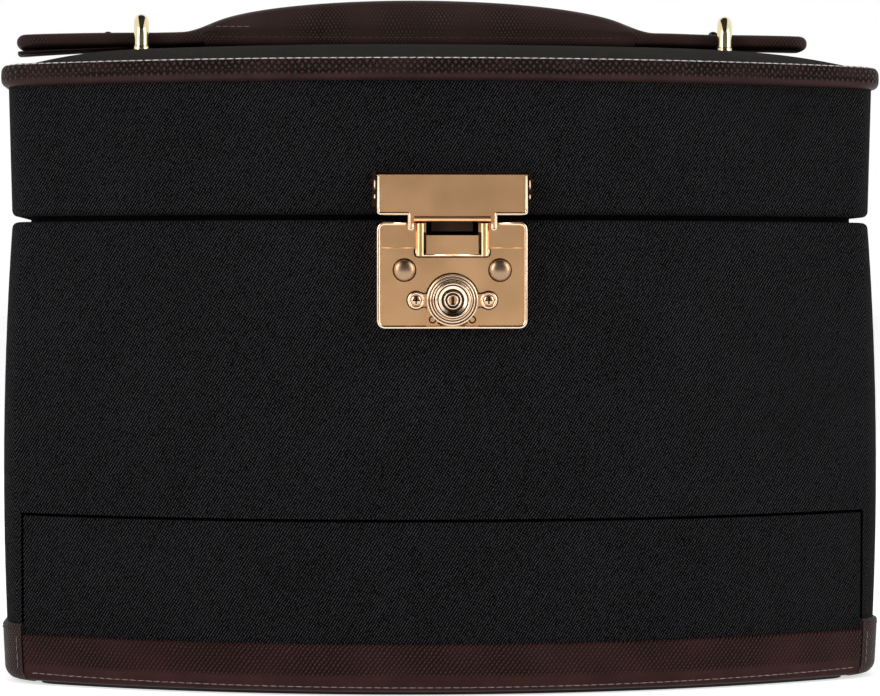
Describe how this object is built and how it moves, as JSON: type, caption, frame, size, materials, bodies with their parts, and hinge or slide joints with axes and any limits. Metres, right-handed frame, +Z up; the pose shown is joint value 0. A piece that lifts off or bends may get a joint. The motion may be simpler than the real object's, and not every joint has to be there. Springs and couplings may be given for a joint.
{
  "type": "makeup train case",
  "caption": "Hard-sided makeup train case in black fabric with leather trim: padded lid with mirror, hasp lock, lift-out tray, bottom drawer and a strap handle.",
  "frame": {"origin": "centre of the base board's underside, on the floor", "axes": "+X to the case's right seen from the front, -Y out of the front, +Z up"},
  "size_m": [0.3298, 0.2422, 0.2582],
  "materials": {
    "case_fabric": "matte twill",
    "trim_leather": "satin embossed",
    "handle_leather": "satin embossed",
    "base_board": "matte black",
    "board": "paper covered",
    "lining": "suede",
    "moulding": "matte",
    "lock_metal": "polished rose gold",
    "loop_brass": "polished",
    "steel": "satin",
    "mirror": "silvered glass"
  },
  "bodies": {
    "case": {"body_shell": "case_fabric", "base_board": "base_board", "side_band": "trim_leather", "compartment_floor": "board", "body_lining": "lining", "floor_pad": "lining", "drawer_runner_left": "moulding", "drawer_runner_right": "moulding", "drawer_stop": "board", "catch_magnets": "steel", "tray_ledge_left": "moulding", "tray_ledge_right": "moulding", "hinge_leaf_body_left": "lock_metal", "hinge_leaf_body_right": "lock_metal", "hinge_pin_left": "steel", "hinge_pin_right": "steel", "hinge_screws_body": "lock_metal", "lock_plate": "lock_metal", "lock_rivets": "lock_metal", "lock_scutcheon": "lock_metal", "scutcheon_screws": "lock_metal", "lock_case": "steel"},
    "lid": {"lid_shell": "case_fabric", "lid_trim": "trim_leather", "lid_pad": "case_fabric", "lid_lining": "lining", "mirror_frame": "moulding", "mirror": "mirror", "hinge_leaf_lid_left": "lock_metal", "hinge_leaf_lid_right": "lock_metal", "hinge_screws_lid": "lock_metal", "hasp_base": "lock_metal", "hasp_pin": "lock_metal", "handle_loop_left": "loop_brass", "handle_loop_right": "loop_brass"},
    "hasp_flap": {"hasp": "lock_metal", "hasp_staple": "lock_metal"},
    "button": {"lock_button": "lock_metal"},
    "plug": {"key_plug": "lock_metal"},
    "bolt": {"lock_bolt": "steel"},
    "drawer": {"drawer_front": "case_fabric", "drawer_band": "trim_leather", "drawer_side_left": "board", "drawer_side_right": "board", "drawer_back": "board", "drawer_bottom": "board", "drawer_felt": "lining", "catch_discs": "steel"},
    "lift_tray": {"tray": "moulding", "tray_divider": "moulding", "tray_partitions": "moulding"},
    "grip": {"handle_strap": "handle_leather", "handle_grip": "handle_leather", "strap_bend_left": "handle_leather", "strap_bend_right": "handle_leather"},
    "tail_left": {"strap_tail_left": "handle_leather", "strap_flap": "handle_leather"},
    "tail_right": {"strap_tail_right": "handle_leather"}
  },
  "joints": [
    {"name": "lid_hinge", "type": "hinge", "parent": "case", "child": "lid", "pos_m": [0, 0.1153, 0.172], "axis": [-1, 0, 0], "range_deg": [0, 100]},
    {"name": "hasp_swing", "type": "hinge", "parent": "lid", "child": "hasp_flap", "pos_m": [0, -0.1186, 0.1854], "axis": [-1, 0, 0], "range_deg": [0, 95]},
    {"name": "button_press", "type": "slide", "parent": "case", "child": "button", "axis": [0, 1, 0], "range_m": [0, 0.0015], "stiffness_N_per_m": 600, "springref_m": -0.001},
    {"name": "key_turn", "type": "hinge", "parent": "button", "child": "plug", "pos_m": [0, -0.12, 0.1422], "axis": [0, 1, 0], "range_deg": [0, 90]},
    {"name": "bolt_lift", "type": "slide", "parent": "case", "child": "bolt", "axis": [0, 0, 1], "range_m": [0, 0.0032]},
    {"name": "drawer_slide", "type": "slide", "parent": "case", "child": "drawer", "axis": [0, -1, 0], "range_m": [0, 0.12]},
    {"name": "tray_lift", "type": "slide", "parent": "case", "child": "lift_tray", "axis": [0, 0, 1], "range_m": [0, 0.038]},
    {"name": "handle_lift", "type": "slide", "parent": "lid", "child": "grip", "axis": [0, 0, 1], "range_m": [0, 0.02], "deforming": ["strap_bend_left", "strap_bend_right"]},
    {"name": "tail_left_draw", "type": "slide", "parent": "grip", "child": "tail_left", "axis": [0.3593, 0, -0.9332], "range_m": [0, 0.0216], "deforming": ["strap_bend_left", "strap_bend_right"]},
    {"name": "tail_right_draw", "type": "slide", "parent": "grip", "child": "tail_right", "axis": [-0.2288, 0, -0.9735], "range_m": [0, 0.0207], "deforming": ["strap_bend_left", "strap_bend_right"]}
  ],
  "couplings": [
    {"joint": "key_turn", "follows": "bolt_lift", "rad_per_m": 490.87},
    {"joint": "tail_left_draw", "follows": "handle_lift", "ratio": 1.0715},
    {"joint": "tail_right_draw", "follows": "handle_lift", "ratio": 1.0272}
  ]
}
